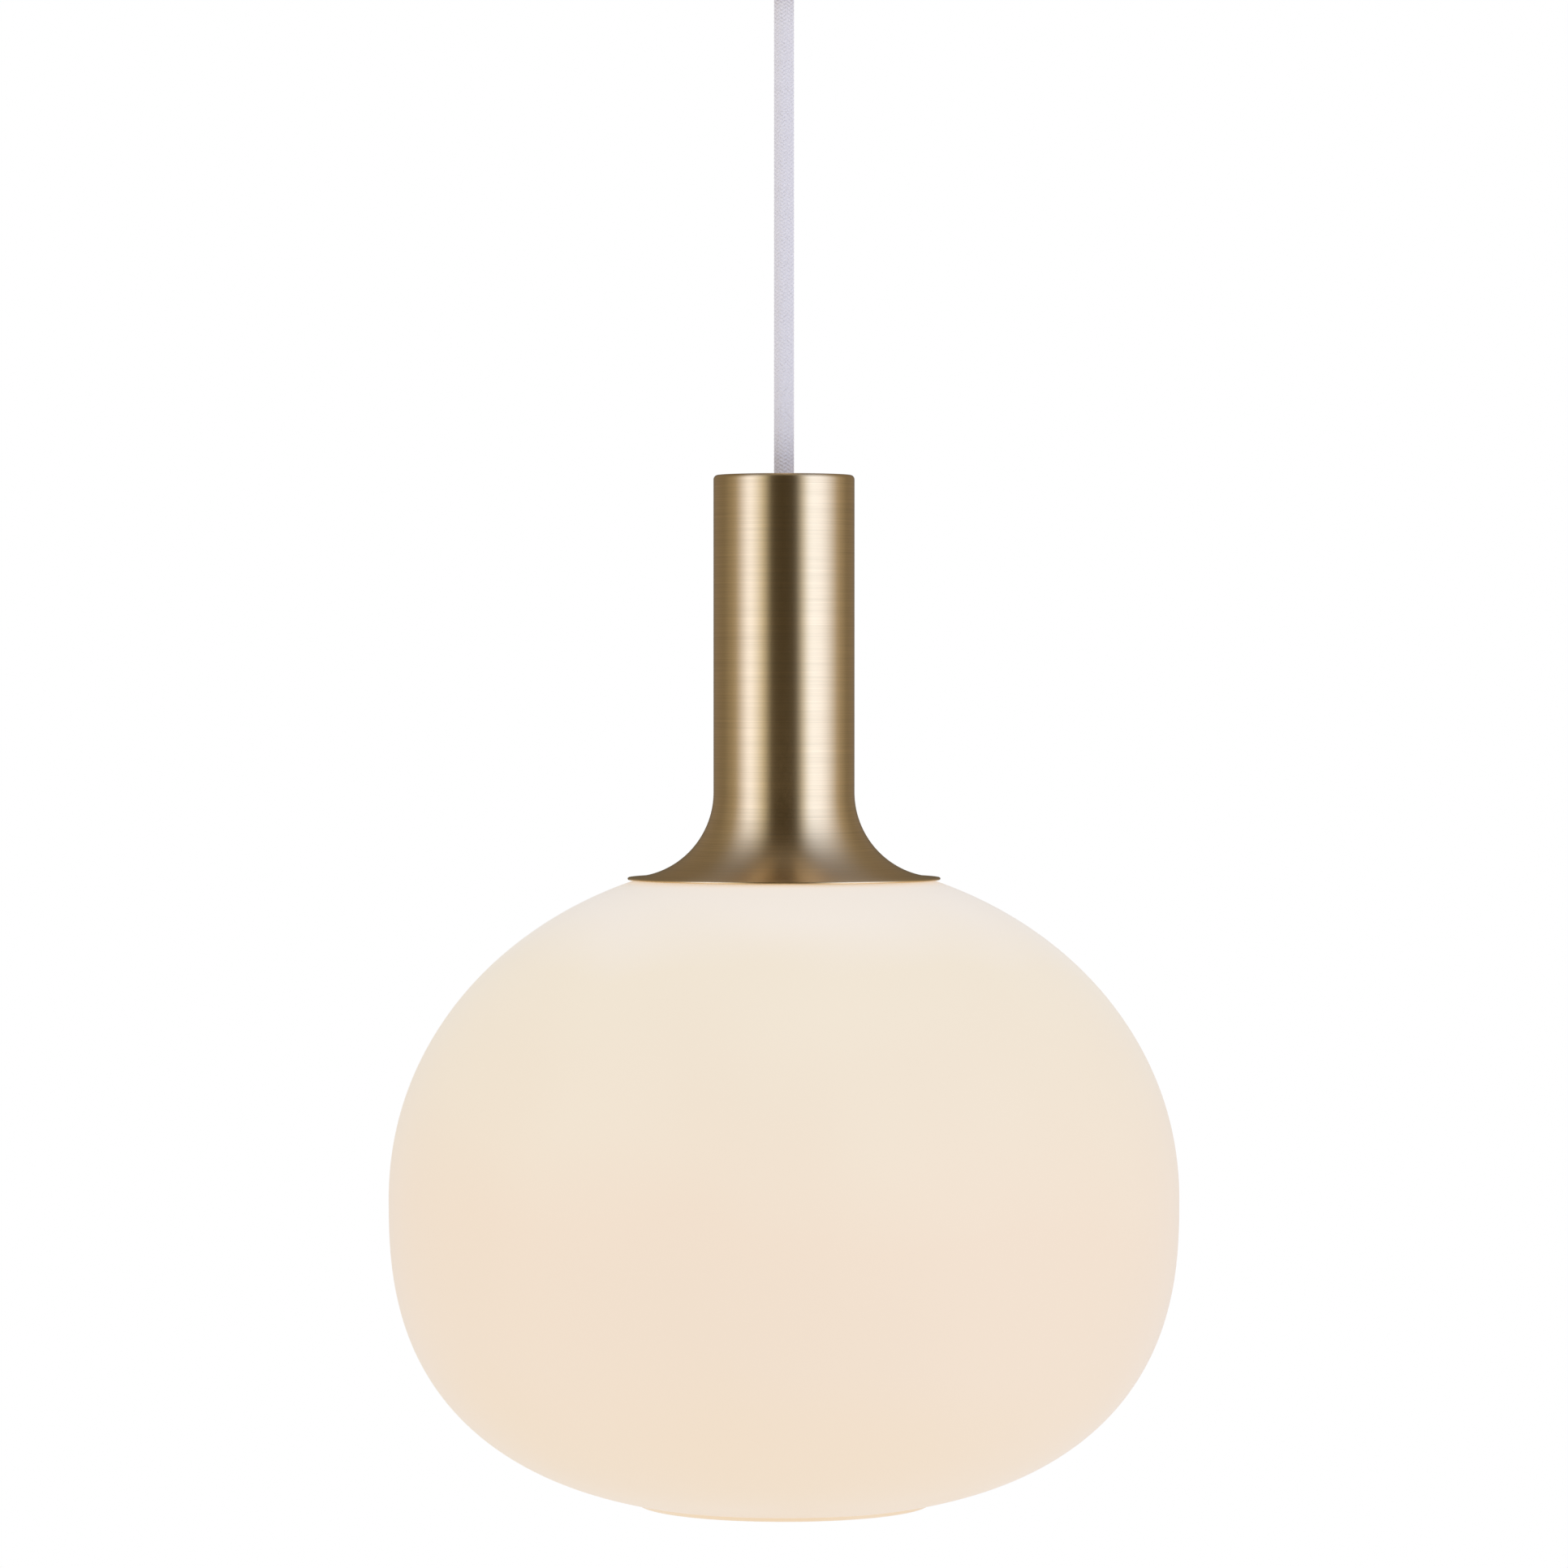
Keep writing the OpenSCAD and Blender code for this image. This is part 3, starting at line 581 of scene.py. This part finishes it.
def metal(name, color, roughness):
    """Plain plated or stamped metal, a little uneven in tone and gloss."""
    material, shader = finish_named(name, color, roughness, Metallic=1.0)
    cloud = noise(material, METAL_GRAIN * 4, 4)
    dark, light = shades(color, 0.1)
    tinted(material, shader, cloud, dark, light)
    worn(material, shader, cloud, roughness - 0.07, roughness + 0.1)
    bumps(material, shader, noise(material, METAL_GRAIN, 3), METAL_RELIEF)
    return material


def zinc():
    """Zinc plate with faint crystal patches."""
    material, shader = finish_named("galvanised_steel", (0.60, 0.61, 0.63), 0.38, Metallic=1.0)
    patches = add(material, "ShaderNodeTexVoronoi", Vector=place(material), Scale=1 / (2.5 * MM))
    tone = patches.outputs["Distance"]
    tinted(material, shader, tone, (0.52, 0.53, 0.55), (0.68, 0.69, 0.71), 0.1, 0.7)
    worn(material, shader, tone, 0.28, 0.48)
    bumps(material, shader, noise(material, 0.3 * MM, 2), 0.004 * MM)
    return material


def powder_coat():
    """Satin white paint with a slight orange peel."""
    material, shader = finish_named("white_paint", (0.83, 0.83, 0.81), 0.42)
    cloud = noise(material, 15 * MM, 3)
    tinted(material, shader, cloud, (0.80, 0.80, 0.785), (0.85, 0.85, 0.835))
    worn(material, shader, noise(material, 3 * MM, 2), 0.36, 0.48)
    bumps(material, shader, noise(material, 1.1 * MM, 2), 0.03 * MM)
    return material


def porcelain():
    """Glazed ceramic with small dark specks under the glaze."""
    material, shader = finish_named(
        "porcelain", (0.87, 0.86, 0.82), 0.5, Coat_Weight=1.0, Coat_Roughness=0.06,
    )
    specks = add(material, "ShaderNodeTexVoronoi", Vector=place(material), Scale=1 / (2.2 * MM))
    near = specks.outputs["Distance"]
    tinted(material, shader, near, (0.45, 0.42, 0.36), (0.87, 0.86, 0.82), 0.02, 0.08)
    bumps(material, shader, noise(material, 1.5 * MM, 2), 0.02 * MM)
    return material


def lit_diffuser():
    """The bulb's frosted globe, lit warm from behind."""
    material, shader = finish_named(
        "bulb_diffuser", (0.80, 0.76, 0.68), 0.5, Emission_Strength=1.0,
    )
    cloud = noise(material, 14 * MM, 2)
    link(material, ramp(material, cloud, (0.3, (0.98, 0.80, 0.56)), (0.7, (1.0, 0.84, 0.62))),
         shader.inputs["Emission Color"])
    bumps(material, shader, noise(material, 0.5 * MM, 2), 0.008 * MM)
    return material


def circuit_board(name, mask, copper):
    """Solder mask over tracks, which show as slightly raised bands."""
    material, shader = finish_named(name, mask, 0.4)
    tracks = add(
        material, "ShaderNodeTexBrick", Vector=place(material), Scale=TRACK_SCALE, Mortar_Size=0.04,
    )
    tracks.inputs["Color1"].default_value = (*mask, 1)
    tracks.inputs["Color2"].default_value = (*shades(mask, 0.12)[0], 1)
    tracks.inputs["Mortar"].default_value = (*copper, 1)
    link(material, tracks.outputs["Color"], shader.inputs["Base Color"])
    bumps(material, shader, tracks.outputs["Fac"], 0.03 * MM)
    return material


def phosphor():
    """Yellow phosphor gel on the light-emitting chips, with a fine grain, and lit."""
    material, shader = finish_named(
        "led_phosphor", (0.92, 0.74, 0.18), 0.35, Coat_Weight=0.6, Emission_Strength=1.5,
    )
    grain = noise(material, 0.25 * MM, 3)
    tinted(material, shader, grain, (0.86, 0.66, 0.12), (0.96, 0.80, 0.26))
    link(material, ramp(material, grain, (0.3, (1.0, 0.80, 0.42)), (0.7, (1.0, 0.88, 0.56))),
         shader.inputs["Emission Color"])
    return material


def make_materials():
    """One material for each of the record's slots."""
    nylon = dict(Transmission_Weight=0.35, IOR=1.53)
    return {
        "brushed_brass": brushed_brass(),
        "opal_glass": opal_glass(),
        "textile": textile(),
        "galvanised_steel": zinc(),
        "white_paint": powder_coat(),
        "porcelain": porcelain(),
        "bulb_diffuser": lit_diffuser(),
        "led_phosphor": phosphor(),
        "contact_brass": metal("contact_brass", (0.83, 0.62, 0.31), 0.28),
        "nickel_plate": metal("nickel_plate", (0.70, 0.68, 0.64), 0.24),
        "terminal_plastic": moulded("terminal_plastic", (0.78, 0.76, 0.68), 0.5),
        "holder_plastic": moulded("holder_plastic", (0.82, 0.81, 0.78), 0.42),
        "bulb_plastic": moulded("bulb_plastic", (0.84, 0.84, 0.82), 0.34),
        "live_insulation": moulded("live_insulation", (0.22, 0.09, 0.04), 0.38),
        "neutral_insulation": moulded("neutral_insulation", (0.04, 0.14, 0.50), 0.38),
        "black_glass": moulded("black_glass", (0.015, 0.015, 0.018), 0.12),
        "clear_nylon": moulded("clear_nylon", (0.82, 0.81, 0.78), 0.35, **nylon),
        "silicone": moulded("silicone", (0.74, 0.73, 0.70), 0.55, Sheen_Weight=0.2),
        "circuit_board": circuit_board("circuit_board", (0.02, 0.16, 0.07), (0.05, 0.28, 0.12)),
        "white_board": circuit_board("white_board", (0.85, 0.85, 0.83), (0.72, 0.70, 0.64)),
    }


def wear(piece, material):
    piece.data.materials.clear()
    piece.data.materials.append(material)


def dress_nodes(materials):
    """Every node takes the material of its slot in the record."""
    slot_of = {row["node"]: row["material_slot"] for row in frame["record"]["subparts"]}
    for name, node in NODES.items():
        wear(node, materials[slot_of[name]])


# --- Studio ---

# Light on gloss by its direction round the light, in degrees from the camera's side, +X positive
STUDIO = [
    (-180, (0.14, 0.115, 0.075)),
    (-150, (0.24, 0.21, 0.17)),
    (-115, (0.22, 0.20, 0.16)),
    (-86, (0.44, 0.41, 0.35)),
    (-59, (1.42, 1.70, 2.60)),
    (-36, (0.75, 0.78, 0.76)),
    (-22, (0.05, 0.042, 0.026)),
    (21, (0.05, 0.042, 0.026)),
    (33, (0.75, 0.82, 0.95)),
    (44, (1.38, 1.74, 2.80)),
    (66, (1.30, 1.60, 2.55)),
    (100, (0.46, 0.43, 0.38)),
    (125, (0.22, 0.20, 0.16)),
    (150, (0.24, 0.21, 0.17)),
    (180, (0.14, 0.115, 0.075)),
]
OVERHEAD = (0.045, 0.032, 0.018)
FADE_FROM = 25
FADE_TO = 80
FILL = (0.80, 0.79, 0.80)
FILL_SHARE = 0.7
FLOOR_DROP = 0.6
FLOOR_R = 3.0
FLOOR_SIDES = 96


def make_world():
    """Two tall soft lights in a dim studio, seen by gloss, with an even fill and a white backdrop."""
    world = bpy.data.worlds.new("studio")
    bpy.context.scene.world = world
    world.use_nodes = True
    tree = world.node_tree
    tree.nodes.clear()
    direction = add(world, "ShaderNodeTexCoord").outputs["Generated"]
    axes = add(world, "ShaderNodeSeparateXYZ", Vector=direction).outputs
    away = math_node(world, "MULTIPLY", axes["Y"], -1.0)
    turn = math_node(world, "ARCTAN2", axes["X"], away)
    share = math_node(world, "MULTIPLY_ADD", turn, 1 / TAU)
    share.node.inputs[2].default_value = 0.5
    around = ramp(world, share, *[(angle / 360 + 0.5, color) for angle, color in STUDIO])
    lift = math_node(world, "ARCSINE", axes["Z"])
    height = math_node(world, "ABSOLUTE", lift)
    fade = add(
        world, "ShaderNodeMapRange", Value=height,
        From_Min=math.radians(FADE_FROM), From_Max=math.radians(FADE_TO),
    )
    fade.interpolation_type = "SMOOTHSTEP"
    studio = mixed(world, fade.outputs["Result"], around, OVERHEAD)
    rays = add(world, "ShaderNodeLightPath").outputs
    fill_share = math_node(world, "MULTIPLY", rays["Is Diffuse Ray"], FILL_SHARE)
    filled = mixed(world, fill_share, studio, FILL)
    seen = mixed(world, rays["Is Camera Ray"], filled, (1, 1, 1))
    background = add(world, "ShaderNodeBackground", Color=seen, Strength=1.0)
    output = tree.nodes.new("ShaderNodeOutputWorld")
    link(world, background.outputs["Background"], output.inputs["Surface"])


def make_floor():
    """A plain pale floor below the light, which fades into the white backdrop at its edge."""
    z = cad_box[0][2] - FLOOR_DROP
    mesh = bpy.data.meshes.new("floor")
    mesh.from_pydata(level_ring(FLOOR_R, z, FLOOR_SIDES), [], [tuple(range(FLOOR_SIDES))])
    floor = bpy.data.objects.new("floor", mesh)
    bpy.context.scene.collection.objects.link(floor)
    floor.visible_glossy = False
    material, shader = finish_named("floor", (0.5, 0.5, 0.5), 0.9, Emission_Strength=1.0)
    distance = add(
        material, "ShaderNodeVectorMath", Vector=place(material, (1, 1, 0)),
    )
    distance.operation = "LENGTH"
    share = math_node(material, "DIVIDE", distance.outputs["Value"], FLOOR_R)
    # Painted glow: the floor's emission rises from grey at the centre to white at the edge.
    link(material, ramp(material, share, (0.1, 0.55), (0.9, 1.0)), shader.inputs["Emission Color"])
    wear(floor, material)


def set_view():
    view = bpy.context.scene.view_settings
    view.view_transform = "Standard"
    view.look = "None"


# --- The light ---

pieces = [make_cord(), make_glass(), make_cap(), make_bulb_cap()]
materials = make_materials()
dress_nodes(materials)
for piece in pieces:
    wear(piece, materials[piece["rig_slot"]])
make_world()
make_floor()
set_view()
